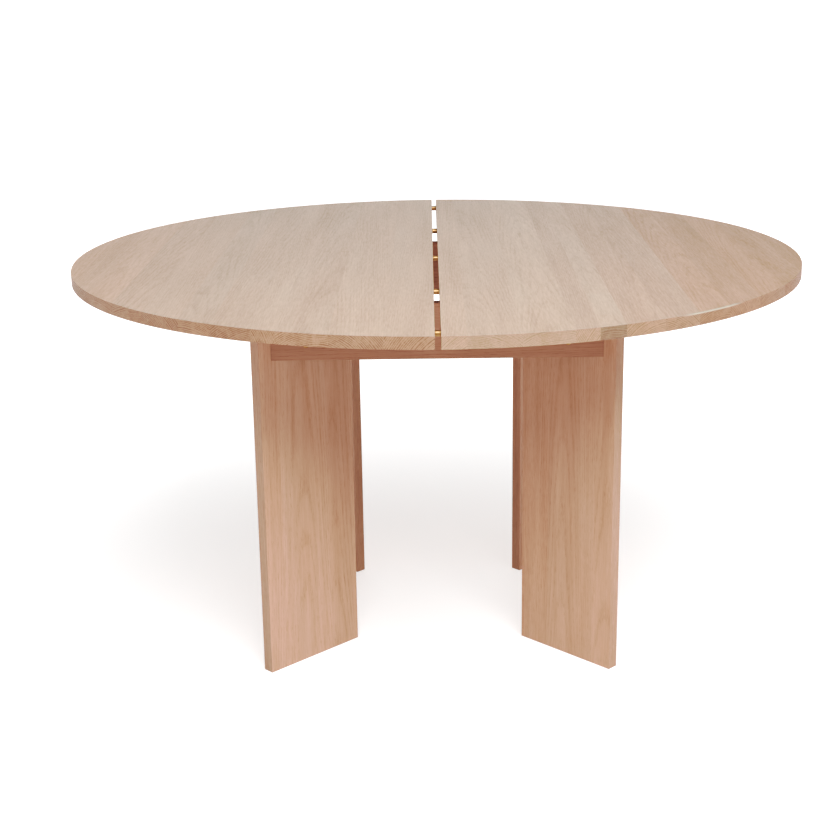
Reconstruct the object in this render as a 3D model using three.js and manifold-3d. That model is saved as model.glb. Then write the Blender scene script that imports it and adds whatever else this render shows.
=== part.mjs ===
// Round dining table with a split top: two half-round oak panels, joined across an open slit by
// brass rods, on four slab legs that stand on the diagonals and a square frame of rails.
// Corner blocks glued to the legs take the rails' bolts and the screws that hold the top.
//
// Millimetres, +Z up. X crosses the slit, Y runs along it, and -Y is the front.
// The origin is on the floor, under the centre of the top.

import * as THREE from 'three';
import { mergeVertices } from 'three/addons/utils/BufferGeometryUtils.js';
import Module from 'manifold-3d';

const wasm = await Module();
wasm.setup();

// Clearance between neighbouring pieces, how far a cut runs past the face that it opens, the
// distance within which vertices are welded, and the steps in round sections and domed heads.
const gap = 0.3;
const overcut = 1;
const weldDistance = 1e-4;
const roundSides = 16;
const domeSteps = 3;

// Top
const tableHeight = 738;
const topRadius = 700;
const topThickness = 21;
const slitWidth = 10;
const topArris = 0.8;
const topArcSteps = 60;

// Rods across the slit
const rodNames = ['front', 'front_middle', 'centre', 'rear_middle', 'rear'];
const rodRadius = 5;
const rodGrip = 55;
const rodChamfer = 0.8;
const rodSpacing = 317.5;

// Legs
const legInnerRadius = 241;
const legWidth = 220;
const legThickness = 22;
const legArris = 1;

// Rails: the square frame's outer faces stand this far from the centre.
const frameReach = 314;
const railThickness = 20;
const railHeight = 102;
const railDrop = 11;
const railArris = 1.2;

// Corner blocks: square timber of this side, cut in two on its diagonal.
const blockSide = 80;
const blockRise = 3;

// Rail bolts, counted from the middle of the rail and from its long edges
const boltReach = 234.5;
const boltInset = 28.5;
const boltHeadRadius = 5.5;
const boltHeadHeight = 3;
const boltRimHeight = 0.8;
const boltShankRadius = 3.25;
const boltLength = 55;
const boltPointChamfer = 1.5;
const boltSocketRadius = 2.3;
const boltSocketDepth = 1.8;
const boltSocketSides = 6;

// Screws that hold the top
const screwReach = 200;
const screwSetback = 18;
const screwHeadRadius = 4.5;
const screwHeadHeight = 2.6;
const screwShankRadius = 2.25;
const screwLength = 50;
const screwPointLength = 5;
const screwBite = 14;
const screwWellRadius = 5.5;

// Heights worked out from the dimensions above
const topUnderside = tableHeight - topThickness;
const railTop = topUnderside - railDrop;
const railBottom = railTop - railHeight;
const supportTop = topUnderside - gap;
const railInnerReach = frameReach - railThickness;

const oak = new THREE.MeshStandardMaterial({ color: 0xcdb49c, roughness: 0.62, metalness: 0 });
const brass = new THREE.MeshStandardMaterial({ color: 0xc29455, roughness: 0.3, metalness: 1 });
const steel = new THREE.MeshStandardMaterial({ color: 0xb4b6b8, roughness: 0.4, metalness: 1 });

// A mesh geometry as a solid for cutting, and a solid back as a mesh geometry.
function solidOf(geometry) {
  const bare = new THREE.BufferGeometry();
  bare.setAttribute('position', geometry.getAttribute('position'));
  bare.setIndex(geometry.index);
  const merged = mergeVertices(bare, weldDistance);
  const mesh = new wasm.Mesh({
    numProp: 3,
    vertProperties: new Float32Array(merged.getAttribute('position').array),
    triVerts: new Uint32Array(merged.index.array),
  });
  return new wasm.Manifold(mesh);
}

function geometryOf(solid) {
  const mesh = solid.getMesh();
  const geometry = new THREE.BufferGeometry();
  geometry.setAttribute('position', new THREE.BufferAttribute(mesh.vertProperties, 3));
  geometry.setIndex(new THREE.BufferAttribute(mesh.triVerts, 1));
  const faceted = geometry.toNonIndexed();
  faceted.computeVertexNormals();
  return faceted;
}

function cut(geometry, tools) {
  const solid = tools.reduce((rest, tool) => rest.subtract(solidOf(tool)), solidOf(geometry));
  return geometryOf(solid);
}

// A round bar between two points.
function bar(radius, start, end, sides = roundSides) {
  const span = new THREE.Vector3().subVectors(end, start);
  const geometry = new THREE.CylinderGeometry(radius, radius, span.length(), sides);
  const turn = new THREE.Quaternion().setFromUnitVectors(
    new THREE.Vector3(0, 1, 0),
    span.clone().normalize(),
  );
  const middle = new THREE.Vector3().addVectors(start, end).multiplyScalar(0.5);
  return geometry.applyMatrix4(
    new THREE.Matrix4().compose(middle, turn, new THREE.Vector3(1, 1, 1)),
  );
}

// An upright prism on a plan outline, with its top and bottom edges broken by arris.
function prism(outline, bottom, top, arris = 0, curveSegments = 1) {
  const geometry = new THREE.ExtrudeGeometry(outline, {
    depth: top - bottom - 2 * arris,
    curveSegments,
    bevelEnabled: arris > 0,
    bevelSegments: 1,
    bevelThickness: arris,
    bevelSize: arris,
    bevelOffset: -arris,
  });
  return geometry.translate(0, 0, bottom + arris);
}

function outlineOf(points) {
  return new THREE.Shape(points.map(([x, y]) => new THREE.Vector2(x, y)));
}

// A turned piece on the Z axis from its half section, given as [radius, height] points.
function turned(section) {
  const profile = section.map(([radius, height]) => new THREE.Vector2(radius, height));
  return new THREE.LatheGeometry(profile, roundSides).rotateX(Math.PI / 2);
}

// The half section of a dome from its rim, at radius and rimHeight, up to the axis at topHeight.
function dome(radius, rimHeight, topHeight) {
  return Array.from({ length: domeSteps + 1 }, (_, step) => {
    const angle = (step / domeSteps) * (Math.PI / 2);
    const height = rimHeight + (topHeight - rimHeight) * Math.sin(angle);
    return [step === domeSteps ? 0 : radius * Math.cos(angle), height];
  });
}

function piece(name, geometry, material) {
  const mesh = new THREE.Mesh(geometry, material);
  mesh.name = name;
  return mesh;
}

// A line that runs across the table, at a distance in front of its centre, meets each front leg's
// inner wide face at 45 degrees. This is how far from the line's middle it does so.
function legFaceReach(distance, clearance) {
  return distance - (legThickness / 2 + clearance) * Math.SQRT2;
}

// One half of the top. side is -1 for the left half and 1 for the right half.
function topHalf(side) {
  const edge = slitWidth / 2;
  const arcEnd = Math.acos(edge / topRadius);
  const outline = new THREE.Shape();
  outline.absarc(0, 0, topRadius, -arcEnd, arcEnd, false);
  const panel = prism(outline, topUnderside, tableHeight, topArris, topArcSteps);
  if (side < 0) {
    panel.rotateZ(Math.PI);
  }
  const rodHoles = rodNames.map((_, index) => rodHole(side, index));
  return cut(panel, [...rodHoles, ...topPilotHoles(side)]);
}

function rodPosition(index) {
  return new THREE.Vector3(
    0,
    (index - (rodNames.length - 1) / 2) * rodSpacing,
    tableHeight - topThickness / 2,
  );
}

function rodHole(side, index) {
  const mouth = rodPosition(index).setX(side * (slitWidth / 2 - overcut));
  const bottom = rodPosition(index).setX(side * (slitWidth / 2 + rodGrip + gap));
  return bar(rodRadius + gap, mouth, bottom);
}

// The blind holes under one half of the top, one for each screw that comes up into it.
function topPilotHoles(side) {
  const across = screwReach;
  const along = railInnerReach - screwSetback;
  const spots = [
    [across, along],
    [along, across],
    [across, -along],
    [along, -across],
  ];
  return spots.map(([x, y]) => bar(
    screwShankRadius + gap,
    new THREE.Vector3(side * x, y, topUnderside - overcut),
    new THREE.Vector3(side * x, y, topUnderside + screwBite + gap),
  ));
}

function rod() {
  const half = slitWidth / 2 + rodGrip;
  return turned([
    [0, -half],
    [rodRadius - rodChamfer, -half],
    [rodRadius, -half + rodChamfer],
    [rodRadius, half - rodChamfer],
    [rodRadius - rodChamfer, half],
    [0, half],
  ]).rotateY(Math.PI / 2);
}

// A leg on the +X axis, its wide faces parallel to the XZ plane.
function leg() {
  const inner = legInnerRadius;
  const outer = legInnerRadius + legWidth;
  const half = legThickness / 2;
  const outline = outlineOf([
    [inner + legArris, -half],
    [outer - legArris, -half],
    [outer, -half + legArris],
    [outer, half - legArris],
    [outer - legArris, half],
    [inner + legArris, half],
    [inner, half - legArris],
    [inner, -half + legArris],
  ]);
  return prism(outline, 0, supportTop, legArris);
}

// The front rail, its ends cut at 45 degrees to lie against the legs' faces.
function rail() {
  const outerEnd = legFaceReach(frameReach, gap);
  const innerEnd = legFaceReach(railInnerReach, gap);
  const outline = outlineOf([
    [-outerEnd, -frameReach],
    [outerEnd, -frameReach],
    [innerEnd, -railInnerReach],
    [-innerEnd, -railInnerReach],
  ]);
  const blank = prism(outline, railBottom, railTop, railArris);
  const holes = [-1, 1].flatMap((end) => boltHeights().map((height) => bar(
    boltShankRadius + gap,
    new THREE.Vector3(end * boltReach, -frameReach - overcut, height),
    new THREE.Vector3(end * boltReach, -railInnerReach + overcut, height),
  )));
  return cut(blank, holes);
}

function boltHeights() {
  return [railBottom + boltInset, railTop - boltInset];
}

// A corner block behind one end of the front rail.
function cornerBlock(end) {
  const face = railInnerReach - gap;
  const tip = legFaceReach(face, gap);
  const longSide = blockSide * Math.SQRT2;
  const outline = outlineOf([
    [end * tip, -face],
    [end * (tip - longSide / 2), -face + longSide / 2],
    [end * (tip - longSide), -face],
  ]);
  const bottom = railBottom + blockRise;
  const blank = prism(outline, bottom, supportTop);
  const boltHoles = boltHeights().map((height) => bar(
    boltShankRadius + gap,
    new THREE.Vector3(end * boltReach, -railInnerReach - overcut, height),
    new THREE.Vector3(end * boltReach, -frameReach + boltLength + gap, height),
  ));
  const screwPoint = (height) => new THREE.Vector3(
    end * screwReach,
    -railInnerReach + screwSetback,
    height,
  );
  const headTop = topUnderside + screwBite - screwLength + gap;
  const well = bar(screwWellRadius, screwPoint(bottom - overcut), screwPoint(headTop));
  const shankHole = bar(
    screwShankRadius + gap,
    screwPoint(headTop - overcut),
    screwPoint(supportTop + overcut),
  );
  return cut(blank, [...boltHoles, well, shankHole]);
}

// A domed bolt with a hexagon socket. Its head is on the -Y side, its shank along +Y.
function railBolt() {
  const body = turned([
    [0, -boltLength],
    [boltShankRadius - boltPointChamfer, -boltLength],
    [boltShankRadius, -boltLength + boltPointChamfer],
    [boltShankRadius, 0],
    [boltHeadRadius, 0],
    ...dome(boltHeadRadius, boltRimHeight, boltHeadHeight),
  ]);
  const socket = bar(
    boltSocketRadius,
    new THREE.Vector3(0, 0, boltHeadHeight - boltSocketDepth),
    new THREE.Vector3(0, 0, boltHeadHeight + overcut),
    boltSocketSides,
  );
  return cut(body, [socket]).rotateX(Math.PI / 2);
}

// A round-headed screw on the Z axis, its point up and its origin where the head meets the shank.
function topScrew() {
  return turned([
    ...dome(screwHeadRadius, 0, -screwHeadHeight).reverse(),
    [screwShankRadius, 0],
    [screwShankRadius, screwLength - screwPointLength],
    [0, screwLength],
  ]);
}

const table = new THREE.Group();

table.add(piece('top_left', topHalf(-1), oak));
table.add(piece('top_right', topHalf(1), oak));

rodNames.forEach((name, index) => {
  const mesh = piece(`rod_${name}`, rod(), brass);
  mesh.position.copy(rodPosition(index));
  table.add(mesh);
});

const corners = [['front_right', -45], ['rear_right', 45], ['rear_left', 135], ['front_left', 225]];
corners.forEach(([name, degrees]) => {
  const mesh = piece(`leg_${name}`, leg(), oak);
  mesh.rotation.z = THREE.MathUtils.degToRad(degrees);
  table.add(mesh);
});

// The four sides of the frame are the front one, turned about the centre. ends names the rail's
// two ends, first the one that lies towards -X before the turn.
const sides = [
  { name: 'front', degrees: 0, ends: ['left', 'right'] },
  { name: 'right', degrees: 90, ends: ['front', 'rear'] },
  { name: 'rear', degrees: 180, ends: ['right', 'left'] },
  { name: 'left', degrees: 270, ends: ['rear', 'front'] },
];
sides.forEach(({ name, degrees, ends }) => {
  const side = new THREE.Group();
  side.rotation.z = THREE.MathUtils.degToRad(degrees);
  side.add(piece(`rail_${name}`, rail(), oak));
  ends.forEach((endName, index) => {
    const end = index === 0 ? -1 : 1;
    side.add(piece(`corner_block_${name}_${endName}`, cornerBlock(end), oak));
    boltHeights().forEach((height, level) => {
      const levelName = level === 0 ? 'lower' : 'upper';
      const bolt = piece(`rail_bolt_${name}_${endName}_${levelName}`, railBolt(), brass);
      bolt.position.set(end * boltReach, -frameReach - gap, height);
      side.add(bolt);
    });
    const screw = piece(`top_screw_${name}_${endName}`, topScrew(), steel);
    screw.position.set(
      end * screwReach,
      -railInnerReach + screwSetback,
      topUnderside + screwBite - screwLength,
    );
    side.add(screw);
  });
  table.add(side);
});

export default table;
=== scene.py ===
# A round dining table with a split top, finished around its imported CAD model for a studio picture.
#
# Metres, +Z up. X crosses the slit between the two half tops, Y runs along it, -Y is the front.
# The wood is a solid texture: each corner of a wooden mesh carries the place that it has in the tree
# (wood_point), and the colour of its stave and how squarely the grain ends there (wood_tone). The oak
# shader works out growth rings, pores and rays from these, so the figure on a face runs over its edge
# into the end grain.

import math
import random
from collections import namedtuple

import bmesh
import bpy
from mathutils import Matrix, Vector


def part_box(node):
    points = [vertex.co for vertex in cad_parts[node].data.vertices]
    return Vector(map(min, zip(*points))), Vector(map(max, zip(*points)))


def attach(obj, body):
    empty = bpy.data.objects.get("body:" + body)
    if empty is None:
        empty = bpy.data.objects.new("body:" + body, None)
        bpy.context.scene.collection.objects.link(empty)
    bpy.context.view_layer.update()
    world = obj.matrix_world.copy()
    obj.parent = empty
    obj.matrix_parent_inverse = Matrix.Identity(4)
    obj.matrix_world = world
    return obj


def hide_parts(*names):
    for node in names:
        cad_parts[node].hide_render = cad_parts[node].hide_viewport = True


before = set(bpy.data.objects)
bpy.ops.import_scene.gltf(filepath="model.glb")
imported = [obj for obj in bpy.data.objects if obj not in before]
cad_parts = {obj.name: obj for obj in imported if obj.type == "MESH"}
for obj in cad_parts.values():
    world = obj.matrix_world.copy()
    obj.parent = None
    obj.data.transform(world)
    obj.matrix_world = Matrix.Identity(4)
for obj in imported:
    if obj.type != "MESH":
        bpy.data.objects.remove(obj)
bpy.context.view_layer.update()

MM = 0.001
X_AXIS = Vector((1, 0, 0))
Y_AXIS = Vector((0, 1, 0))
Z_AXIS = Vector((0, 0, 1))

# Top
TOP_ARC_STEPS = 200
TOP_ARRIS = 1.1 * MM

# Legs, rails and corner blocks
LEG_ARRIS = 1.1 * MM
RAIL_ARRIS = 4 * MM
RAIL_END_ARRIS = 0.3 * MM
BLOCK_ARRIS = 1.5 * MM
ARRIS_STEPS = 3
ROUND_PROFILE = 0.5

# Edges at least this nearly parallel to X run the length of the front rail.
LENGTHWAYS = 0.99

# Rods across the slit
TURNED_SIDES = 48
ROD_CHAMFER = 1 * MM
HOLE_PLAY = 0.2 * MM
HOLE_CHAMFER = 0.5 * MM
HOLE_END_GAP = 0.3 * MM
OVERCUT = 1 * MM

# Rail bolts
BOLT_HEAD_HEIGHT = 3 * MM
BOLT_RIM_HEIGHT = 0.7 * MM
BOLT_SHANK_RADIUS = 3.25 * MM
BOLT_SOCKET_REACH = 2.3 * MM
BOLT_SOCKET_DEPTH = 1.8 * MM
BOLT_SOCKET_CONE = 0.7 * MM
BOLT_POINT = 1.5 * MM
BOLT_SOCKET_SIDES = 6
DOME_STEPS = 8

# Screws that hold the top
SCREW_HEAD_HEIGHT = 2.6 * MM
SCREW_SHANK_RADIUS = 2.25 * MM
SCREW_POINT_LENGTH = 5 * MM
SCREW_WELL_PLAY = 1 * MM
SCREW_SLOT_WIDTH = 1.1 * MM
SCREW_SLOT_DEPTH = 1.4 * MM
SCREW_SLOT_REACH = 2.6 * MM

# Faces of the top that look up at least this squarely hold white oil and a painted sheen: paler,
# cooler colour that stands in for their grazing reflection.
OIL_AND_SHEEN_SLOPE = 0.7

# Faces that the grain meets at least this squarely are the ends of a stave, which have this share of
# its warmth.
END_SQUARENESS = 0.5
END_WARMTH = 0.4

# Sawn edges face sideways at least this squarely, and get a painted shade: this share of a wide face's
# lightness.
EDGE_SQUARENESS = 0.5
EDGE_PAINTED_SHADE = 0.88

# The frame is painted darker and warmer than the rest, a painted shade for where it stands under
# the top, and its rails differ a little in lightness. Its growth rings stand to the wide face at
# these angles, in degrees.
FRAME_SHADED_LIGHTNESS = 0.64
FRAME_LIGHTNESS_SPREAD = 0.02
FRAME_SHADED_WARMTH = 0.5
RAIL_CUT = 18
BLOCK_CUT = 35

# Where a stave lies in its tree: how far its middle is from the pith, how much the angle of its cut
# differs from the one it is given, in degrees, and how high up the trunk it starts, in metres.
PITH_DISTANCES = (70 * MM, 130 * MM)
CUT_SPREAD = 4
TRUNK_HEIGHTS = (2, 12)

# Edges that turn by more than this are creases, and the rest is shaded smooth.
CREASE_ANGLE = math.radians(32)

rng = random.Random(11)

# One glued stave: its width in millimetres, its lightness, its warmth, how its growth rings stand to
# the wide face, in degrees (0 is flat-sawn and 90 is quarter-sawn), the lightness of its ends against
# the ends of the other staves, and how much white oil its ends hold.
Stave = namedtuple("Stave", "width lightness warmth cut ends oiled_ends", defaults=[1.0, 0.0])

# The staves of each half top, from the slit outwards
TOP_RIGHT_STAVES = [
    Stave(40, 1.00, 0.05, 38, 1.10, 0.5),
    Stave(86, 0.98, 0.0, -20, 1.05, 0.5),
    Stave(83, 1.02, -0.05, 8, 1.01, 0.5),
    Stave(40, 0.94, 0.1, 62, 1.08, 0.4),
    Stave(43, 0.98, 0.0, -6, 0.74, 0.3),
    Stave(66, 0.91, 0.3, 24, 1.06, 0.3),
    Stave(62, 0.89, 0.3, -35, 1.00, 0.2),
    Stave(58, 0.86, 0.8, 12, 0.99, 0.1),
    Stave(64, 0.80, 0.9, -58, 1.04),
    Stave(60, 0.83, 1.0, 20, 0.95),
    Stave(56, 0.78, 1.0, -15, 1.04),
    Stave(60, 0.77, 1.0, 40, 0.99),
]
TOP_LEFT_STAVES = [
    Stave(78, 1.00, 0.0, -52, 0.98),
    Stave(87, 1.01, 0.05, 44, 0.94),
    Stave(85, 0.98, 0.05, -14, 1.04),
    Stave(40, 1.02, 0.0, 60),
    Stave(68, 0.99, 0.05, -32, 0.96),
    Stave(57, 0.97, -0.05, 10, 1.03),
    Stave(70, 1.01, 0.1, 50, 0.93),
    Stave(62, 0.98, 0.2, -22),
    Stave(58, 1.01, 0.4, 6, 0.95),
    Stave(52, 0.97, 0.5, -44, 0.90),
    Stave(60, 0.99, 0.6, 18, 0.96),
]

# The staves of a leg, from its inner edge outwards
LEG_STAVES = {
    "front_left": [Stave(65, 0.97, 0.0, 14), Stave(115, 1.01, -0.1, 4), Stave(50, 0.98, 0.0, -38)],
    "front_right": [Stave(65, 0.99, 0.1, 48), Stave(112, 0.97, 0.0, -16), Stave(50, 0.99, 0.0, 6)],
    "rear_right": [Stave(72, 1.02, 0.1, -30), Stave(88, 1.03, 0.0, 10), Stave(70, 1.00, 0.1, 40)],
    "rear_left": [Stave(58, 1.02, 0.0, 8), Stave(104, 1.00, 0.1, -24), Stave(66, 1.03, 0.0, 52)],
}

SIDES = [
    ("front", 0, ("left", "right")),
    ("right", 90, ("front", "rear")),
    ("rear", 180, ("right", "left")),
    ("left", 270, ("rear", "front")),
]
LEGS = [("front_right", -45), ("rear_right", 45), ("rear_left", 135), ("front_left", 225)]
FRONT_ENDS = ("left", "right")
LEVELS = ("lower", "upper")


# ---- Measures taken from the frame ----


def middle(node):
    low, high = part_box(node)
    return (low + high) / 2


def size(node):
    low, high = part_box(node)
    return high - low


def span(node, direction):
    """How far a CAD node reaches along a direction, from its nearest to its furthest point."""
    reaches = [direction.dot(vertex.co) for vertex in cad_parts[node].data.vertices]
    return min(reaches), max(reaches)


def turn_about_centre(degrees):
    return Matrix.Rotation(math.radians(degrees), 4, "Z")


# ---- Solids ----


def prism(outline, bottom, top):
    """A closed upright solid on a plan outline that runs anticlockwise."""
    solid = bmesh.new()
    lower = [solid.verts.new((x, y, bottom)) for x, y in outline]
    upper = [solid.verts.new((x, y, top)) for x, y in outline]
    solid.faces.new(lower[::-1])
    solid.faces.new(upper)
    for index, start in enumerate(lower):
        after = (index + 1) % len(lower)
        solid.faces.new((start, lower[after], upper[after], upper[index]))
    return solid


def turned(section, sides=TURNED_SIDES):
    """A closed solid turned on the Z axis from a half section that climbs from axis to axis."""
    solid = bmesh.new()
    rings = []
    for radius, height in section:
        steps = sides if radius > 0 else 1
        angles = [2 * math.pi * step / steps for step in range(steps)]
        ring = [(radius * math.cos(angle), radius * math.sin(angle), height) for angle in angles]
        rings.append([solid.verts.new(point) for point in ring])
    for lower, upper in zip(rings, rings[1:]):
        for step in range(sides):
            after = (step + 1) % sides
            corners = [
                lower[step % len(lower)],
                lower[after % len(lower)],
                upper[after % len(upper)],
                upper[step % len(upper)],
            ]
            solid.faces.new(list(dict.fromkeys(corners)))
    return solid


def joined(solids):
    """One mesh that holds several separate solids."""
    whole = bmesh.new()
    for solid in solids:
        part = bpy.data.meshes.new("part")
        solid.to_mesh(part)
        solid.free()
        whole.from_mesh(part)
        bpy.data.meshes.remove(part)
    return whole


def scratch_object(solid):
    mesh = bpy.data.meshes.new("scratch")
    solid.to_mesh(mesh)
    solid.free()
    holder = bpy.data.objects.new("scratch", mesh)
    bpy.context.scene.collection.objects.link(holder)
    return holder


def cut_away(solid, tools):
    """The solid less the tools."""
    body = scratch_object(solid)
    cutter = scratch_object(joined(tools))
    cut = body.modifiers.new("cut", "BOOLEAN")
    cut.operation = "DIFFERENCE"
    cut.solver = "EXACT"
    cut.object = cutter
    result = bmesh.new()
    result.from_object(body, bpy.context.evaluated_depsgraph_get())
    for holder in (body, cutter):
        mesh = holder.data
        bpy.data.objects.remove(holder)
        bpy.data.meshes.remove(mesh)
    return result


def is_crease(edge):
    return edge.calc_face_angle(0) > CREASE_ANGLE


def round_arrises(solid, radius, wanted=is_crease):
    edges = [edge for edge in solid.edges if is_crease(edge) and wanted(edge)]
    bmesh.ops.bevel(
        solid,
        geom=edges,
        offset=radius,
        segments=ARRIS_STEPS,
        profile=ROUND_PROFILE,
        affect="EDGES",
        clamp_overlap=True,
    )


def moved(solid, place):
    solid.transform(place)
    return solid


# ---- Staves ----


def lay_staves(solid, across, through, along, staves, start, oil_and_sheen_face=False):
    """Splits a wooden solid into staves and gives each corner its place in the tree and its tone.

    across, through and along are the board's directions, and start is where the first stave
    begins. The last stave takes what is left. With its last flag set, the upper face has white oil
    and a painted sheen.
    """
    joints = [start]
    for stave in staves[:-1]:
        joints.append(joints[-1] + stave.width * MM)
    for joint in joints[1:]:
        geometry = solid.verts[:] + solid.edges[:] + solid.faces[:]
        bmesh.ops.bisect_plane(solid, geom=geometry, plane_co=across * joint, plane_no=across)
    depths = [through.dot(vertex.co) for vertex in solid.verts]
    mid_depth = (min(depths) + max(depths)) / 2
    piths = [pith_of(stave, joint, mid_depth) for stave, joint in zip(staves, joints)]

    points = solid.loops.layers.float_vector.new("wood_point")
    tones = solid.loops.layers.float_color.new("wood_tone")
    for face in solid.faces:
        reach = across.dot(face.calc_center_median())
        index = max(0, sum(reach > joint for joint in joints) - 1)
        pith = piths[index]
        stave = staves[index]
        end_grain = abs(face.normal.dot(along))
        lightness = stave.lightness
        warmth = stave.warmth
        # Upper faces of the top get white oil and a painted sheen, and ends get the oil of their
        # stave.
        oil_and_sheen = float(face.normal.dot(Z_AXIS) > OIL_AND_SHEEN_SLOPE and oil_and_sheen_face)
        if end_grain > END_SQUARENESS:
            lightness *= stave.ends
            warmth *= END_WARMTH
            oil_and_sheen = stave.oiled_ends
        elif abs(face.normal.dot(across)) > EDGE_SQUARENESS:
            # Painted shade: sawn edges are darker than the wide faces.
            lightness *= EDGE_PAINTED_SHADE
        for loop in face.loops:
            place = loop.vert.co
            local = Vector((across.dot(place), through.dot(place), along.dot(place)))
            loop[points] = local - pith
            loop[tones] = (lightness, warmth, end_grain, oil_and_sheen)
    return solid


def pith_of(stave, joint, mid_depth):
    """Where the middle of the stave's tree lies, in the board's own directions."""
    distance = rng.uniform(*PITH_DISTANCES)
    slant = math.radians(stave.cut + rng.uniform(-CUT_SPREAD, CUT_SPREAD))
    centre = joint + stave.width * MM / 2
    return Vector((
        centre + distance * math.sin(slant),
        mid_depth - distance * math.cos(slant),
        -rng.uniform(*TRUNK_HEIGHTS),
    ))


# ---- Pieces ----


def finish_piece(name, solid, material, node):
    """Turns a solid into a piece that rides on the root body and stands for its CAD node."""
    for face in solid.faces:
        face.smooth = True
    mesh = bpy.data.meshes.new(name)
    solid.to_mesh(mesh)
    solid.free()
    mesh.set_sharp_from_angle(angle=CREASE_ANGLE)
    mesh.materials.append(material)
    piece = bpy.data.objects.new(name, mesh)
    bpy.context.scene.collection.objects.link(piece)
    normals = piece.modifiers.new("even_normals", "WEIGHTED_NORMAL")
    normals.keep_sharp = True
    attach(piece, "root")
    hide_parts(node)
    return piece


def drill(radius, depth, play=HOLE_PLAY):
    """A cutter for a blind hole that goes down from z = 0 and has a chamfered mouth."""
    return turned([
        (0, -depth),
        (radius + play, -depth),
        (radius + play, -HOLE_CHAMFER),
        (radius + play + HOLE_CHAMFER, 0),
        (radius + play + HOLE_CHAMFER, OVERCUT),
        (0, OVERCUT),
    ])


def aim(point, direction):
    """Places what stands on the Z axis at a point, with +Z turned to a direction."""
    return Matrix.Translation(point) @ direction.to_track_quat("Z", "Y").to_matrix().to_4x4()


def build_top(name, side, staves, material):
    """One half of the top. side is -1 for the left half and 1 for the right half."""
    node = f"top_{name}"
    low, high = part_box(node)
    slit_edge = min(abs(low.x), abs(high.x))
    radius = max(abs(low.x), abs(high.x))
    arc_end = math.acos(slit_edge / radius)
    angles = [arc_end * (2 * step / TOP_ARC_STEPS - 1) for step in range(TOP_ARC_STEPS + 1)]
    half_turn = 0 if side > 0 else math.pi
    outline = [
        (radius * math.cos(angle + half_turn), radius * math.sin(angle + half_turn))
        for angle in angles
    ]
    panel = prism(outline, low.z, high.z)
    round_arrises(panel, TOP_ARRIS)
    screws = [screw for screw in screw_nodes() if middle(screw).x * side > 0]
    holes = [rod_hole(rod, side, slit_edge) for rod in rod_nodes()]
    holes += [pilot_hole(screw, low.z) for screw in screws]
    panel = cut_away(panel, holes)
    lay_staves(panel, X_AXIS * side, Z_AXIS, Y_AXIS, staves, slit_edge, oil_and_sheen_face=True)
    return finish_piece(f"{node}_oak", panel, material, node)


def rod_nodes():
    return [f"rod_{name}" for name in ("front", "front_middle", "centre", "rear_middle", "rear")]


def screw_nodes():
    return [f"top_screw_{side}_{end}" for side, _, ends in SIDES for end in ends]


def rod_hole(node, side, slit_edge):
    mouth = middle(node)
    mouth.x = side * slit_edge
    depth = size(node).x / 2 - slit_edge + HOLE_END_GAP
    return moved(drill(size(node).z / 2, depth), aim(mouth, X_AXIS * -side))


def pilot_hole(node, underside):
    mouth = middle(node)
    mouth.z = underside
    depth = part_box(node)[1].z - underside + HOLE_END_GAP
    return moved(drill(SCREW_SHANK_RADIUS, depth), aim(mouth, -Z_AXIS))


def build_leg(name, degrees, material):
    node = f"leg_{name}"
    out = turn_about_centre(degrees) @ X_AXIS
    inner, outer = span(node, out)
    half = size_across(node, turn_about_centre(degrees) @ Y_AXIS) / 2
    low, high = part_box(node)
    slab = prism([(inner, -half), (outer, -half), (outer, half), (inner, half)], low.z, high.z)
    round_arrises(slab, LEG_ARRIS)
    lay_staves(slab, X_AXIS, Y_AXIS, Z_AXIS, LEG_STAVES[name], inner)
    moved(slab, turn_about_centre(degrees))
    return finish_piece(f"{node}_oak", slab, material, node)


def size_across(node, direction):
    nearest, furthest = span(node, direction)
    return furthest - nearest


def build_rail(side, degrees, material):
    """Made as the front rail, then turned about the centre of the table."""
    low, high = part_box("rail_front")
    thickness = high.y - low.y
    outline = [
        (low.x, low.y),
        (high.x, low.y),
        (high.x - thickness, high.y),
        (low.x + thickness, high.y),
    ]
    board = prism(outline, low.z, high.z)
    round_arrises(board, RAIL_ARRIS, runs_lengthways)
    round_arrises(board, RAIL_END_ARRIS)
    holes = []
    for end in FRONT_ENDS:
        for level in LEVELS:
            mouth = middle(f"rail_bolt_front_{end}_{level}")
            mouth.y = low.y
            depth = thickness + OVERCUT
            holes.append(moved(drill(BOLT_SHANK_RADIUS, depth), aim(mouth, -Y_AXIS)))
    board = cut_away(board, holes)
    # The rail's oak is painted darker and warmer, as shade under the top.
    lightness = FRAME_SHADED_LIGHTNESS * rng.uniform(1 - FRAME_LIGHTNESS_SPREAD, 1 + FRAME_LIGHTNESS_SPREAD)
    stave = Stave((high.z - low.z) / MM, lightness, FRAME_SHADED_WARMTH, RAIL_CUT)
    lay_staves(board, Z_AXIS, Y_AXIS, X_AXIS, [stave], low.z)
    moved(board, turn_about_centre(degrees))
    return finish_piece(f"rail_{side}_oak", board, material, f"rail_{side}")


def runs_lengthways(edge):
    start, end = edge.verts
    return abs((end.co - start.co).normalized().x) > LENGTHWAYS


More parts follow.
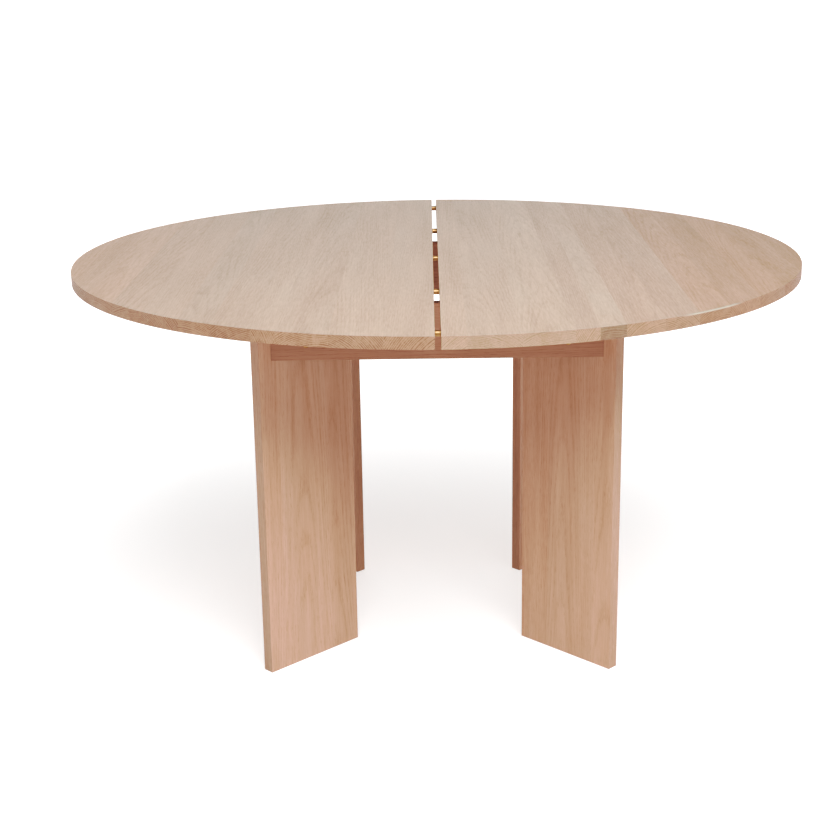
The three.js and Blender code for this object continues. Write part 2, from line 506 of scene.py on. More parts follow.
def build_corner_block(side, degrees, end_name, index, material):
    """Made behind one end of the front rail, then turned about the centre of the table."""
    front_end = FRONT_ENDS[index]
    low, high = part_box(f"corner_block_front_{front_end}")
    apex = ((low.x + high.x) / 2, high.y)
    block = prism([(low.x, low.y), (high.x, low.y), apex], low.z, high.z)
    round_arrises(block, BLOCK_ARRIS)
    tools = []
    for level in LEVELS:
        bolt = f"rail_bolt_front_{front_end}_{level}"
        mouth = middle(bolt)
        mouth.y = low.y
        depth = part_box(bolt)[1].y - low.y + HOLE_END_GAP
        tools.append(moved(drill(BOLT_SHANK_RADIUS, depth), aim(mouth, -Y_AXIS)))
    screw = f"top_screw_front_{front_end}"
    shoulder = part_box(screw)[0].z + SCREW_HEAD_HEIGHT
    mouth = middle(screw)
    mouth.z = low.z
    well = drill(size(screw).x / 2, shoulder - low.z, SCREW_WELL_PLAY)
    tools.append(moved(well, aim(mouth, -Z_AXIS)))
    block = cut_away(block, tools)
    shank = drill(SCREW_SHANK_RADIUS, high.z - shoulder + OVERCUT)
    mouth.z = high.z
    block = cut_away(block, [moved(shank, aim(mouth, Z_AXIS))])
    # The block's oak is painted darker and warmer, as shade under the top.
    stave = Stave((high.x - low.x) / MM, FRAME_SHADED_LIGHTNESS, FRAME_SHADED_WARMTH, BLOCK_CUT)
    lay_staves(block, X_AXIS, Y_AXIS, Z_AXIS, [stave], low.x)
    moved(block, turn_about_centre(degrees))
    node = f"corner_block_{side}_{end_name}"
    return finish_piece(f"{node}_oak", block, material, node)


def build_rod(node, material):
    radius = size(node).z / 2
    half = size(node).x / 2
    rod = turned([
        (0, -half),
        (radius - ROD_CHAMFER, -half),
        (radius, -half + ROD_CHAMFER),
        (radius, half - ROD_CHAMFER),
        (radius - ROD_CHAMFER, half),
        (0, half),
    ])
    moved(rod, aim(middle(node), X_AXIS))
    return finish_piece(f"{node}_brass", rod, material, node)


def dome(radius, rim_height, top_height):
    """The half section of a domed head, from its rim to the axis."""
    section = []
    for step in range(DOME_STEPS + 1):
        angle = math.pi / 2 * step / DOME_STEPS
        reach = radius * math.cos(angle) if step < DOME_STEPS else 0
        section.append((reach, rim_height + (top_height - rim_height) * math.sin(angle)))
    return section


def build_bolt(side, degrees, end_name, index, level, material):
    """A domed bolt with a hexagon socket, made in the front rail and then turned."""
    front_end = FRONT_ENDS[index]
    low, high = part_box(f"rail_bolt_front_{front_end}_{level}")
    head_radius = (high.x - low.x) / 2
    length = high.y - low.y - BOLT_HEAD_HEIGHT
    bolt = turned([
        (0, -length),
        (BOLT_SHANK_RADIUS - BOLT_POINT, -length),
        (BOLT_SHANK_RADIUS, -length + BOLT_POINT),
        (BOLT_SHANK_RADIUS, 0),
        (head_radius, 0),
        *dome(head_radius, BOLT_RIM_HEIGHT, BOLT_HEAD_HEIGHT),
    ])
    floor = BOLT_HEAD_HEIGHT - BOLT_SOCKET_DEPTH
    socket = turned([
        (0, floor - BOLT_SOCKET_CONE),
        (BOLT_SOCKET_REACH, floor),
        (BOLT_SOCKET_REACH, BOLT_HEAD_HEIGHT + OVERCUT),
        (0, BOLT_HEAD_HEIGHT + OVERCUT),
    ], BOLT_SOCKET_SIDES)
    bolt = cut_away(bolt, [socket])
    seat = (low + high) / 2
    seat.y = low.y + BOLT_HEAD_HEIGHT
    moved(bolt, turn_about_centre(degrees) @ aim(seat, -Y_AXIS))
    node = f"rail_bolt_{side}_{end_name}_{level}"
    return finish_piece(f"{node}_brass", bolt, material, node)


def build_screw(node, material):
    """A round-headed screw with a cross recess, its point up in the top."""
    low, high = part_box(node)
    head_radius = (high.x - low.x) / 2
    section = [(reach, -height) for reach, height in dome(head_radius, 0, SCREW_HEAD_HEIGHT)]
    length = high.z - low.z - SCREW_HEAD_HEIGHT
    screw = turned([
        *section[::-1],
        (SCREW_SHANK_RADIUS, 0),
        (SCREW_SHANK_RADIUS, length - SCREW_POINT_LENGTH),
        (0, length),
    ])
    recess_top = -SCREW_HEAD_HEIGHT + SCREW_SLOT_DEPTH
    recess_bottom = -SCREW_HEAD_HEIGHT - OVERCUT
    half = SCREW_SLOT_WIDTH / 2
    for x, y in ((SCREW_SLOT_REACH, half), (half, SCREW_SLOT_REACH)):
        slot = prism([(-x, -y), (x, -y), (x, y), (-x, y)], recess_bottom, recess_top)
        screw = cut_away(screw, [slot])
    seat = (low + high) / 2
    seat.z = low.z + SCREW_HEAD_HEIGHT
    moved(screw, Matrix.Translation(seat))
    return finish_piece(f"{node}_steel", screw, material, node)


# ---- Materials ----

# A Mix node keeps its two colours and its mixed colour after its sockets for other kinds.
FIRST_COLOUR = 6
SECOND_COLOUR = 7
MIXED_COLOUR = 2


class Graph:
    """A material and its node tree. Each call adds a node and gives back its output socket."""

    def __init__(self, name):
        self.material = bpy.data.materials.new(name)
        self.material.use_nodes = True
        self.tree = self.material.node_tree
        self.surface = self.tree.nodes["Principled BSDF"]

    def feed(self, socket, value):
        if isinstance(value, bpy.types.NodeSocket):
            self.tree.links.new(value, socket)
        else:
            socket.default_value = value

    def attribute(self, name, output):
        node = self.tree.nodes.new("ShaderNodeAttribute")
        node.attribute_name = name
        return node.outputs[output]

    def place(self):
        return self.tree.nodes.new("ShaderNodeTexCoord").outputs["Object"]

    def maths(self, operation, *values):
        node = self.tree.nodes.new("ShaderNodeMath")
        node.operation = operation
        for socket, value in zip(node.inputs, values):
            self.feed(socket, value)
        return node.outputs[0]

    def vector(self, operation, *values):
        node = self.tree.nodes.new("ShaderNodeVectorMath")
        node.operation = operation
        for socket, value in zip(node.inputs, values):
            self.feed(socket, value)
        return node.outputs[0]

    def scaled(self, vector, factor):
        node = self.tree.nodes.new("ShaderNodeVectorMath")
        node.operation = "SCALE"
        self.feed(node.inputs["Vector"], vector)
        self.feed(node.inputs["Scale"], factor)
        return node.outputs[0]

    def split(self, vector):
        node = self.tree.nodes.new("ShaderNodeSeparateXYZ")
        self.feed(node.inputs[0], vector)
        return node.outputs

    def join(self, x, y, z):
        node = self.tree.nodes.new("ShaderNodeCombineXYZ")
        for socket, value in zip(node.inputs, (x, y, z)):
            self.feed(socket, value)
        return node.outputs[0]

    def noise(self, vector, stretch, detail=2.0, roughness=0.5):
        """Noise from 0 to 1, with this many bumps per metre along each axis."""
        node = self.tree.nodes.new("ShaderNodeTexNoise")
        self.feed(node.inputs["Vector"], self.vector("MULTIPLY", vector, stretch))
        node.inputs["Scale"].default_value = 1
        node.inputs["Detail"].default_value = detail
        node.inputs["Roughness"].default_value = roughness
        return node.outputs["Fac"]

    def remap(self, value, low, high, to_low=0.0, to_high=1.0, smooth=True):
        node = self.tree.nodes.new("ShaderNodeMapRange")
        node.interpolation_type = "SMOOTHSTEP" if smooth else "LINEAR"
        for socket, number in zip(node.inputs, (value, low, high, to_low, to_high)):
            self.feed(socket, number)
        return node.outputs[0]

    def ramp(self, factor, stops):
        """A curve from 0 to 1 through (position, level) stops."""
        node = self.tree.nodes.new("ShaderNodeValToRGB")
        elements = node.color_ramp.elements
        for element, (position, level) in zip(elements, (stops[0], stops[-1])):
            element.position = position
            element.color = (level, level, level, 1)
        for position, level in stops[1:-1]:
            elements.new(position).color = (level, level, level, 1)
        self.feed(node.inputs[0], factor)
        return node.outputs[0]

    def mix(self, factor, first, second, blend="MIX"):
        node = self.tree.nodes.new("ShaderNodeMix")
        node.data_type = "RGBA"
        node.blend_type = blend
        self.feed(node.inputs[0], factor)
        self.feed(node.inputs[FIRST_COLOUR], first)
        self.feed(node.inputs[SECOND_COLOUR], second)
        return node.outputs[MIXED_COLOUR]

    def tinted(self, factor, colour, tint):
        """The colour, multiplied by a tint as far as the factor says."""
        return self.mix(factor, colour, self.mix(1.0, colour, tint, "MULTIPLY"))

    def bump(self, height, strength, distance):
        node = self.tree.nodes.new("ShaderNodeBump")
        node.inputs["Strength"].default_value = strength
        node.inputs["Distance"].default_value = distance
        self.feed(node.inputs["Height"], height)
        return node.outputs[0]


# Growth rings: how wide they are, how fast the trunk narrows, how far its lean and its small waves
# push the rings about, and how much the years' widths differ, in rings
RING_WIDTH = 3.0 * MM
TRUNK_TAPER = 0.02
WANDER_DEPTH = 16 * MM
WOBBLE_DEPTH = 1.6 * MM
YEAR_SPREAD = 2.2

# How dark and porous a year's wood is, from its start to its end
EARLYWOOD = [(0, 0.85), (0.06, 1), (0.4, 0.12), (0.8, 0), (0.97, 0.35), (1, 0.85)]

# Bumps of noise per metre, across, through and along the grain
WANDER_GRAIN = (6, 6, 1)
WOBBLE_GRAIN = (60, 60, 8)
FADE_GRAIN = (30, 30, 4)
DASH_GRAIN = (600, 600, 40)
WEAR_GRAIN = (110, 110, 30)
PORE_GRAIN = (1900, 1900, 75)
FLECK_GRAIN = (380, 380, 38)
STREAK_GRAIN = (330, 330, 9)
BAND_GRAIN = (75, 75, 2.6)
CLOUD_GRAIN = (24, 24, 2.4)
BLUSH_GRAIN = (17, 17, 3)

# Bumps of noise per metre from the pith outwards, for the widths of the years
YEAR_GRAIN = (90, 1, 1)

# Bumps of noise per radian round the pith, per metre outwards and per metre along the trunk
RAY_GRAIN = (210, 28, 34)

# Most of a noise lies between these, and nearly all of it between the wide ones.
NOISE_RANGE = (0.3, 0.7)
WIDE_NOISE_RANGE = (0.25, 0.75)

# Between which levels of their noise the pores, the rays and the marks on the rings fade in
PORE_RANGE = (0.54, 0.66)
RAY_RANGE = (0.60, 0.72)
FADE_RANGE = (0.35, 0.65)
DASH_RANGE = (0.35, 0.6)
WEAR_RANGE = (0.38, 0.62)

# The least that is left of the rings where they fade, between their dashes and where an end is worn
FADE_LEAST = 0.2
DASH_LEAST = 0.3
WEAR_LEAST = 0.2

# Late wood has this share of the pores of early wood. It reaches up to the first of these levels of
# early wood, and full early wood starts at the second.
LATE_PORES = 0.25
PORE_LEVELS = (0.05, 0.6)

# How far the growth rings, the bands and the flecks darken the oak of each part of the table
Contrasts = namedtuple("Contrasts", "rings bands flecks")
TOP_CONTRASTS = Contrasts(0.24, 0.20, 0.32)
LEG_CONTRASTS = Contrasts(0.28, 0.30, 0.14)
FRAME_CONTRASTS = Contrasts(0.30, 0.25, 0.12)

# How far each thing darkens all of the oak, and how far the blush changes its warmth
STREAK_CONTRAST = 0.16
CLOUD_CONTRAST = 0.26
END_RING_CONTRAST = 0.6
BLUSH_WARMTH = 0.08

# How much of the wood's own colour each thing covers
RAY_COVER = 0.28
PORE_COVER = 0.3
END_RING_COVER = 0.8

# The surface: its roughness and what dark wood and pores add to it, and how deep it is marked
OAK_ROUGHNESS = 0.44
SHADE_ROUGHNESS = 0.10
PORE_ROUGHNESS = 0.25
OAK_IOR = 1.5
RELIEF_DEPTH = 0.12 * MM
RELIEF_STRENGTH = 0.35
RING_RELIEF = 0.25

OAK_PALE = (0.508, 0.338, 0.267, 1)
OAK_DARK = (0.345, 0.206, 0.146, 1)
OAK_PORE = (0.21, 0.110, 0.066, 1)
OIL_IN_PORES = (0.44, 0.325, 0.245, 1)
OAK_RAY = (0.565, 0.390, 0.310, 1)
# Paler, cooler colour of the top's upper faces: white oil and a painted sheen for their grazing
# reflection.
WHITE_OIL_AND_SHEEN = (0.97, 1.175, 1.215, 1)
END_GRAIN_TINT = (0.635, 0.632, 0.61, 1)
WARM_TINT = (1.06, 0.855, 0.74, 1)
COOL_TINT = (0.94, 1.085, 1.14, 1)

# A pale patch of sapwood in the right half of the top: how much it changes the colour, and where it
# lies, between two distances to the right of the slit and two distances in front of the middle. Its
# front and rear ends are ragged.
SAPWOOD_TINT = (1.02, 1.05, 1.07, 1)
SAPWOOD_RIGHT = (256 * MM, 297 * MM)
SAPWOOD_FRONT = (385 * MM, 548 * MM)
SAPWOOD_SIDE_SOFTNESS = 1.5 * MM
SAPWOOD_END_SOFTNESS = 10 * MM
SAPWOOD_RAGGEDNESS = 30 * MM
SAPWOOD_GRAIN = (70, 20, 70)

# A highlight painted along the top's upper arris: its colour, its bearings to the right of the front,
# in degrees, how far from the centre it starts, how deep it goes down the rim and how uneven it is.
ARRIS_HIGHLIGHT = (0.36, 0.33, 0.27, 1)
ARRIS_HIGHLIGHT_START = 35
ARRIS_HIGHLIGHT_END = 45.5
ARRIS_HIGHLIGHT_SOFTNESS = 2
ARRIS_HIGHLIGHT_RADIUS = 698 * MM
ARRIS_HIGHLIGHT_RADIUS_SOFTNESS = 2 * MM
ARRIS_HIGHLIGHT_DEPTH = 2.5 * MM
ARRIS_HIGHLIGHT_RAGGEDNESS = 4 * MM
ARRIS_HIGHLIGHT_GRAIN = (60, 60, 60)


def oak(name, contrasts, marked_and_highlighted=False):
    """Pale, matt, open-pored oak. White oil and a painted sheen pale its upper faces, and the oil
    fills their pores.

    With its last flag set, it also has the top's patch of sapwood and a painted highlight along the
    top's arris.
    """
    graph = Graph(name)
    point = graph.attribute("wood_point", "Vector")
    lightness, warmth, end_grain = graph.split(graph.attribute("wood_tone", "Vector"))
    oil_and_sheen = graph.attribute("wood_tone", "Alpha")
    radius = distance_from_pith(graph, point)
    early = early_wood(graph, radius)
    rings = long_rings(graph, point, early)
    end_rings = rings_on_ends(graph, point, early, end_grain)
    pores = open_pores(graph, point, early)
    rays = ray_flecks(graph, point, radius)

    # Lighter and darker wood comes in flecks, streaks, bands and clouds, all drawn out by the grain.
    shade = graph.maths("MULTIPLY", rings, contrasts.rings)
    shade = graph.maths("MULTIPLY_ADD", end_rings, END_RING_CONTRAST, shade)
    for grain, noise_range, contrast in (
        (FLECK_GRAIN, NOISE_RANGE, contrasts.flecks),
        (STREAK_GRAIN, WIDE_NOISE_RANGE, STREAK_CONTRAST),
        (BAND_GRAIN, WIDE_NOISE_RANGE, contrasts.bands),
        (CLOUD_GRAIN, WIDE_NOISE_RANGE, CLOUD_CONTRAST),
    ):
        darker = graph.remap(graph.noise(point, grain), *noise_range, 0, contrast, smooth=False)
        shade = graph.maths("ADD", shade, darker)

    colour = graph.mix(shade, OAK_PALE, OAK_DARK)
    colour = graph.mix(graph.maths("MULTIPLY", rays, RAY_COVER), colour, OAK_RAY)
    filling = graph.mix(oil_and_sheen, OAK_PORE, OIL_IN_PORES)
    colour = graph.mix(graph.maths("MULTIPLY", pores, PORE_COVER), colour, filling)
    colour = graph.mix(graph.maths("MULTIPLY", end_rings, END_RING_COVER), colour, filling)
    # Painted sheen: the top's upper faces turn paler and cooler, partly from white oil and partly as
    # painted grazing reflection.
    colour = graph.tinted(oil_and_sheen, colour, WHITE_OIL_AND_SHEEN)
    colour = graph.tinted(end_grain, colour, END_GRAIN_TINT)
    colour = warmed(graph, point, colour, warmth)
    colour = graph.scaled(colour, lightness)
    if marked_and_highlighted:
        colour = graph.tinted(patch_of_sapwood(graph), colour, SAPWOOD_TINT)
        # Painted highlight along the upper arris, at the right of the front.
        colour = graph.mix(painted_arris_highlight(graph), colour, ARRIS_HIGHLIGHT)

    relief = graph.maths("MULTIPLY_ADD", pores, -1.0, graph.maths("MULTIPLY", rings, -RING_RELIEF))
    roughness = graph.maths("MULTIPLY_ADD", shade, SHADE_ROUGHNESS, OAK_ROUGHNESS)
    roughness = graph.maths("MULTIPLY_ADD", pores, PORE_ROUGHNESS, roughness)
    graph.feed(graph.surface.inputs["Base Color"], colour)
    graph.feed(graph.surface.inputs["Normal"], graph.bump(relief, RELIEF_STRENGTH, RELIEF_DEPTH))
    graph.feed(graph.surface.inputs["Roughness"], roughness)
    graph.surface.inputs["IOR"].default_value = OAK_IOR
    return graph.material


def distance_from_pith(graph, point):
    """The trunk leans and swells a little, which draws cathedrals on flat-sawn faces."""
    x, y, z = graph.split(point)
    radius = distance_from_axis(graph, x, y)
    radius = graph.maths("MULTIPLY_ADD", z, TRUNK_TAPER, radius)
    radius = graph.maths("MULTIPLY_ADD", graph.noise(point, WANDER_GRAIN), WANDER_DEPTH, radius)
    return graph.maths("MULTIPLY_ADD", graph.noise(point, WOBBLE_GRAIN), WOBBLE_DEPTH, radius)


def early_wood(graph, radius):
    """Years differ in width, and each starts with a dark, porous band."""
    years = graph.noise(graph.join(radius, 0.0, 0.0), YEAR_GRAIN, detail=1)
    turns = graph.maths("DIVIDE", radius, RING_WIDTH)
    turns = graph.maths("MULTIPLY_ADD", years, YEAR_SPREAD, turns)
    return graph.ramp(graph.maths("FRACT", turns), EARLYWOOD)


def long_rings(graph, point, early):
    """Along the grain, the rings fade in places and break into dashes."""
    fade = graph.remap(graph.noise(point, FADE_GRAIN, detail=1), *FADE_RANGE, FADE_LEAST, 1.0)
    dashes = graph.remap(graph.noise(point, DASH_GRAIN, detail=1), *DASH_RANGE, DASH_LEAST, 1.0)
    return graph.maths("MULTIPLY", early, graph.maths("MULTIPLY", fade, dashes))


def rings_on_ends(graph, point, early, end_grain):
    """Where the grain ends, the rings show as arcs, clear in some places and worn in others."""
    worn = graph.remap(graph.noise(point, WEAR_GRAIN), *WEAR_RANGE, WEAR_LEAST, 1.0)
    return graph.maths("MULTIPLY", early, graph.maths("MULTIPLY", end_grain, worn))


def open_pores(graph, point, early):
    """Open pores are short dashes along the grain, and dots where the grain ends."""
    pores = graph.remap(graph.noise(point, PORE_GRAIN, detail=1), *PORE_RANGE)
    return graph.maths("MULTIPLY", pores, graph.remap(early, *PORE_LEVELS, LATE_PORES, 1.0))


def ray_flecks(graph, point, radius):
    """Rays run from the pith outwards: flecks on quartered faces, short ticks on flat ones."""
    x, y, z = graph.split(point)
    angle = graph.maths("ARCTAN2", y, x)
    return graph.remap(graph.noise(graph.join(angle, radius, z), RAY_GRAIN), *RAY_RANGE)


def warmed(graph, point, colour, warmth):
    """The colour turned warmer or cooler by the stave's warmth and a faint blush."""
    blush = graph.noise(point, BLUSH_GRAIN)
    blush = graph.remap(blush, *NOISE_RANGE, -BLUSH_WARMTH, BLUSH_WARMTH, smooth=False)
    warmth = graph.maths("ADD", warmth, blush)
    warmer = graph.mix(1.0, colour, WARM_TINT, "MULTIPLY")
    cooler = graph.mix(1.0, colour, COOL_TINT, "MULTIPLY")
    return graph.mix(graph.remap(warmth, -1, 1, smooth=False), cooler, warmer)


def between(graph, value, low, high, softness):
    """1 between two values, and 0 outside them, with soft ends."""
    up = graph.remap(value, low - softness, low + softness)
    down = graph.remap(value, high - softness, high + softness, 1.0, 0.0)
    return graph.maths("MULTIPLY", up, down)


def patch_of_sapwood(graph):
    """Where the pale sapwood lies in the right half of the top."""
    place = graph.place()
    x, y, _ = graph.split(place)
    ragged = graph.noise(place, SAPWOOD_GRAIN, detail=3)
    forward = graph.maths("MULTIPLY", graph.maths("MULTIPLY_ADD", ragged, SAPWOOD_RAGGEDNESS, y), -1.0)
    right = between(graph, x, *SAPWOOD_RIGHT, SAPWOOD_SIDE_SOFTNESS)
    front = between(graph, forward, *SAPWOOD_FRONT, SAPWOOD_END_SOFTNESS)
    return graph.maths("MULTIPLY", right, front)


def painted_arris_highlight(graph):
    """Where a highlight is painted along the upper arris of the top, at the right of the front."""
    place = graph.place()
    x, y, z = graph.split(place)
    bearing = graph.maths("ARCTAN2", x, graph.maths("MULTIPLY", y, -1.0))
    length = between(graph, bearing, *map(math.radians, (ARRIS_HIGHLIGHT_START, ARRIS_HIGHLIGHT_END, ARRIS_HIGHLIGHT_SOFTNESS)))
    edge = graph.noise(place, ARRIS_HIGHLIGHT_GRAIN)
    reach = graph.maths("MULTIPLY_ADD", edge, ARRIS_HIGHLIGHT_RAGGEDNESS, distance_from_axis(graph, x, y))
    near = graph.remap(reach, ARRIS_HIGHLIGHT_RADIUS, ARRIS_HIGHLIGHT_RADIUS + ARRIS_HIGHLIGHT_RADIUS_SOFTNESS)
    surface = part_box("top_right")[1].z
    high = graph.remap(z, surface - ARRIS_HIGHLIGHT_DEPTH, surface - ARRIS_HIGHLIGHT_DEPTH / 2)
    return graph.maths("MULTIPLY", graph.maths("MULTIPLY", near, high), length)


def distance_from_axis(graph, x, y):
    squares = graph.maths("MULTIPLY_ADD", x, x, graph.maths("MULTIPLY", y, y))
    return graph.maths("SQRT", squares)


# Brass and its tarnish and specks, and how rough it is where it is cleanest and dullest
BRASS = (0.43, 0.28, 0.16, 1)
BRASS_TARNISH = (0.33, 0.205, 0.11, 1)
BRASS_SPECK = (0.30, 0.18, 0.10, 1)
BRASS_SPECK_COVER = 0.35
BRASS_ROUGHNESS = (0.50, 0.64)
TARNISH_GRAIN = (160, 160, 160)
SPECK_GRAIN = (900, 900, 900)
BRUSHING_GRAIN = (300, 2600, 2600)

# Zinc plating, bright and with bloom, and how rough it is in both places
ZINC = (0.62, 0.63, 0.64, 1)
ZINC_BLOOM = (0.40, 0.41, 0.43, 1)
ZINC_ROUGHNESS = (0.28, 0.5)
BLOOM_GRAIN = (420, 420, 420)

# Between which levels of their noise the tarnish, the specks, the bloom and the dullness fade in
TARNISH_RANGE = (0.35, 0.75)
SPECK_RANGE = (0.58, 0.72)
BLOOM_RANGE = (0.3, 0.75)
DULLNESS_RANGE = (0.3, 0.8)

# The metals' fine noises have this much detail, and their surfaces this much relief.
METAL_DETAIL = 4
METAL_DETAIL_ROUGHNESS = 0.6
METAL_RELIEF_STRENGTH = 0.2
METAL_RELIEF_DEPTH = 0.03 * MM


def brass():
    """Satin brass, a little tarnished."""
    graph = Graph("satin_brass")
    place = graph.place()
    tarnish = graph.noise(place, TARNISH_GRAIN, METAL_DETAIL, METAL_DETAIL_ROUGHNESS)
    specks = graph.remap(graph.noise(place, SPECK_GRAIN), *SPECK_RANGE)
    colour = graph.mix(graph.remap(tarnish, *TARNISH_RANGE), BRASS, BRASS_TARNISH)
    colour = graph.mix(graph.maths("MULTIPLY", specks, BRASS_SPECK_COVER), colour, BRASS_SPECK)
    roughness = graph.remap(tarnish, *DULLNESS_RANGE, *BRASS_ROUGHNESS)
    finish_metal(graph, colour, roughness, graph.noise(place, BRUSHING_GRAIN))
    return graph.material


def steel():
    """Zinc-plated steel."""
    graph = Graph("zinc_plated_steel")
    bloom = graph.noise(graph.place(), BLOOM_GRAIN, METAL_DETAIL, METAL_DETAIL_ROUGHNESS)
    colour = graph.mix(graph.remap(bloom, *BLOOM_RANGE), ZINC, ZINC_BLOOM)
    roughness = graph.remap(bloom, *DULLNESS_RANGE, *ZINC_ROUGHNESS)
    finish_metal(graph, colour, roughness, bloom)
    return graph.material


def finish_metal(graph, colour, roughness, relief):
    normal = graph.bump(relief, METAL_RELIEF_STRENGTH, METAL_RELIEF_DEPTH)
    graph.feed(graph.surface.inputs["Base Color"], colour)
    graph.feed(graph.surface.inputs["Roughness"], roughness)
    graph.feed(graph.surface.inputs["Normal"], normal)
    graph.surface.inputs["Metallic"].default_value = 1


# The studio floor is pale and glows: at GLOW_NEAR up to GLOW_START metres from the middle of the
# table, rising to GLOW_FAR at GLOW_END metres.
FLOOR_PALE = (0.53, 0.53, 0.53, 1)
FLOOR_SHADE = (0.51, 0.51, 0.51, 1)
FLOOR_ROUGHNESS = 0.8
SPECKLE_GRAIN = (3, 3, 3)
GLOW_NEAR = 0.58
GLOW_FAR = 1.0
GLOW_START = 0.5
GLOW_END = 1.9
WHITE = (1, 1, 1, 1)


def floor_material():
    graph = Graph("studio_floor")
    place = graph.place()
    colour = graph.mix(graph.noise(place, SPECKLE_GRAIN), FLOOR_SHADE, FLOOR_PALE)
    x, y, _ = graph.split(place)
    glow = graph.remap(distance_from_axis(graph, x, y), GLOW_START, GLOW_END, GLOW_NEAR, GLOW_FAR)
    graph.feed(graph.surface.inputs["Base Color"], colour)
    graph.surface.inputs["Roughness"].default_value = FLOOR_ROUGHNESS
    graph.surface.inputs["Emission Color"].default_value = WHITE
    graph.feed(graph.surface.inputs["Emission Strength"], glow)
    return graph.material


# ---- Studio ----

FLOOR_HALF_SIZE = 60
FLOOR_DROP = 0.3 * MM

CAMERA_PLACE = Vector((-0.0116, -2.9925, 1.2898))
CAMERA_YAW = math.radians(-0.441)
CAMERA_PITCH = math.radians(16.627)
CAMERA_ROLL = math.radians(-0.785)
CAMERA_LENS = 66.06
CAMERA_SENSOR = 36

# Soft lights all aim at the middle of the table from the same distance. Each one has its bearing to
# the right of the front, its elevation, its width, its height and how bright its face is.
LIGHT_TARGET = Vector((0, 0, 0.4))
LIGHT_DISTANCE = 4.5
SoftLight = namedtuple("SoftLight", "name bearing elevation width height brightness")
SOFT_LIGHTS = [
    SoftLight("key", 10, 45, 3, 2.4, 11.5),
    SoftLight("front_fill", 10, 25, 3, 2, 0.2),
    SoftLight("right_fill", 60, 35, 3, 2.4, 1.0),
    SoftLight("rear_fill", 180, 8, 6, 1.6, 2.2),
]

# The horizon is white up to WALL_TOP and fades from there into a grey ceiling, which starts at
# CEILING_EDGE. Both heights are sines of elevations.
WALL_LIGHT = 1.0
CEILING_LIGHT = 0.32
WALL_TOP = 0.03
CEILING_EDGE = 0.15

# The picture's contrast: shadow tones are deepened, and all tones from the middle up stay as they
# are. The curve for all three colours together is the fourth one.
ALL_COLOURS = 3
TONE_CURVE = [(0.033, 0.0076), (0.073, 0.021), (0.133, 0.059), (0.214, 0.156), (0.274, 0.24),
              (0.34, 0.336), (0.5, 0.5), (0.75, 0.75)]


def build_floor():
    reach = FLOOR_HALF_SIZE
    corners = [(-reach, -reach), (reach, -reach), (reach, reach), (-reach, reach)]
    sheet = bmesh.new()
    sheet.faces.new([sheet.verts.new((x, y, -FLOOR_DROP)) for x, y in corners])
    mesh = bpy.data.meshes.new("floor")
    sheet.to_mesh(mesh)
    sheet.free()
    mesh.materials.append(floor_material())
    floor = bpy.data.objects.new("floor", mesh)
    bpy.context.scene.collection.objects.link(floor)


def light_studio():
    """A white horizon under a grey ceiling, and three large soft lights in front and one behind."""
    world = bpy.data.worlds.new("studio")
    world.use_nodes = True
    nodes = world.node_tree.nodes
    links = world.node_tree.links
    direction = nodes.new("ShaderNodeTexCoord")
    split = nodes.new("ShaderNodeSeparateXYZ")
    level = nodes.new("ShaderNodeMapRange")
    level.interpolation_type = "SMOOTHSTEP"
    level.inputs["From Min"].default_value = WALL_TOP
    level.inputs["From Max"].default_value = CEILING_EDGE
    level.inputs["To Min"].default_value = WALL_LIGHT
    level.inputs["To Max"].default_value = CEILING_LIGHT
    links.new(direction.outputs["Generated"], split.inputs[0])
    links.new(split.outputs["Z"], level.inputs["Value"])
    nodes["Background"].inputs["Color"].default_value = WHITE
    links.new(level.outputs[0], nodes["Background"].inputs["Strength"])
    bpy.context.scene.world = world

    for light in SOFT_LIGHTS:
        hang_soft_light(light)


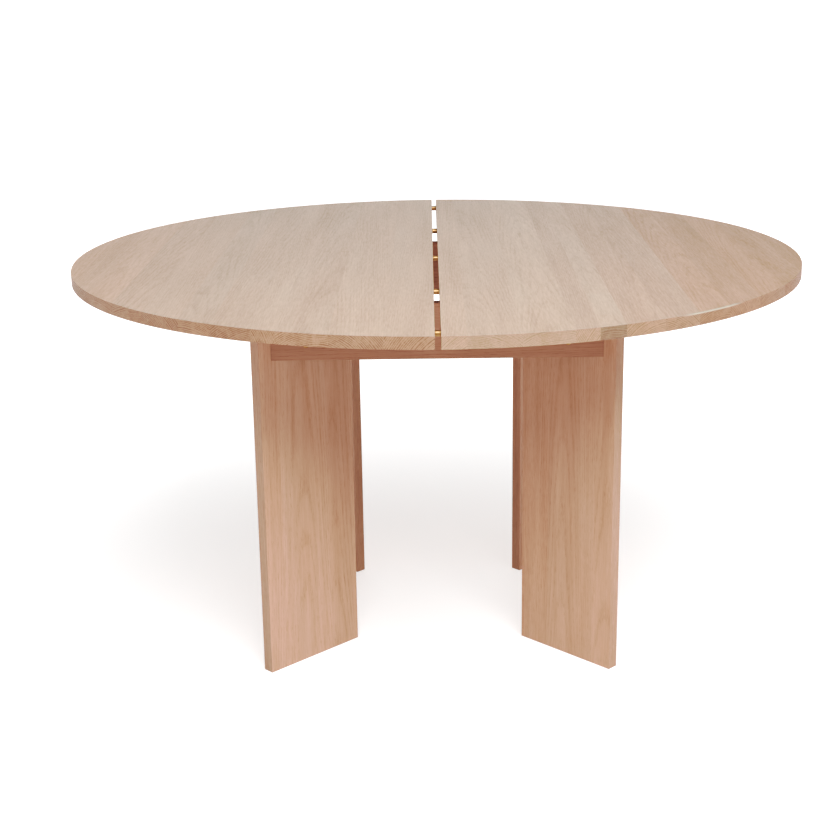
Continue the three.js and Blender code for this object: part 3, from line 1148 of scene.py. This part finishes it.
def hang_soft_light(light):
    lamp = bpy.data.lights.new(light.name, "AREA")
    lamp.shape = "RECTANGLE"
    lamp.size = light.width
    lamp.size_y = light.height
    lamp.energy = light.brightness * math.pi * light.width * light.height
    bearing = math.radians(light.bearing)
    elevation = math.radians(light.elevation)
    outward = Vector((
        math.sin(bearing) * math.cos(elevation),
        -math.cos(bearing) * math.cos(elevation),
        math.sin(elevation),
    ))
    holder = bpy.data.objects.new(light.name, lamp)
    holder.matrix_world = aim(LIGHT_TARGET + outward * LIGHT_DISTANCE, outward)
    holder.visible_camera = False
    bpy.context.scene.collection.objects.link(holder)


def set_contrast():
    view = bpy.context.scene.view_settings
    view.view_transform = "Standard"
    view.use_curve_mapping = True
    curve = view.curve_mapping.curves[ALL_COLOURS]
    for place, level in TONE_CURVE:
        curve.points.new(place, level)
    view.curve_mapping.update()


def place_camera():
    lens = bpy.data.cameras.new("camera")
    lens.sensor_width = CAMERA_SENSOR
    lens.lens = CAMERA_LENS
    lens.clip_end = 4 * FLOOR_HALF_SIZE
    camera = bpy.data.objects.new("camera", lens)
    camera.matrix_world = (
        Matrix.Translation(CAMERA_PLACE)
        @ Matrix.Rotation(-CAMERA_YAW, 4, "Z")
        @ Matrix.Rotation(math.pi / 2 - CAMERA_PITCH, 4, "X")
        @ Matrix.Rotation(CAMERA_ROLL, 4, "Z")
    )
    bpy.context.scene.collection.objects.link(camera)
    bpy.context.scene.camera = camera


# ---- The table ----


def build_table():
    top_oak = oak("oiled_oak_top_painted_light", TOP_CONTRASTS, marked_and_highlighted=True)
    leg_oak = oak("oiled_oak_legs", LEG_CONTRASTS)
    frame_oak = oak("oiled_oak_frame", FRAME_CONTRASTS)
    satin = brass()
    zinc = steel()
    build_top("right", 1, TOP_RIGHT_STAVES, top_oak)
    build_top("left", -1, TOP_LEFT_STAVES, top_oak)
    for node in rod_nodes():
        build_rod(node, satin)
    for name, degrees in LEGS:
        build_leg(name, degrees, leg_oak)
    for side, degrees, ends in SIDES:
        build_rail(side, degrees, frame_oak)
        for index, end in enumerate(ends):
            build_corner_block(side, degrees, end, index, frame_oak)
            for level in LEVELS:
                build_bolt(side, degrees, end, index, level, satin)
    for node in screw_nodes():
        build_screw(node, zinc)


build_floor()
light_studio()
set_contrast()
place_camera()
build_table()
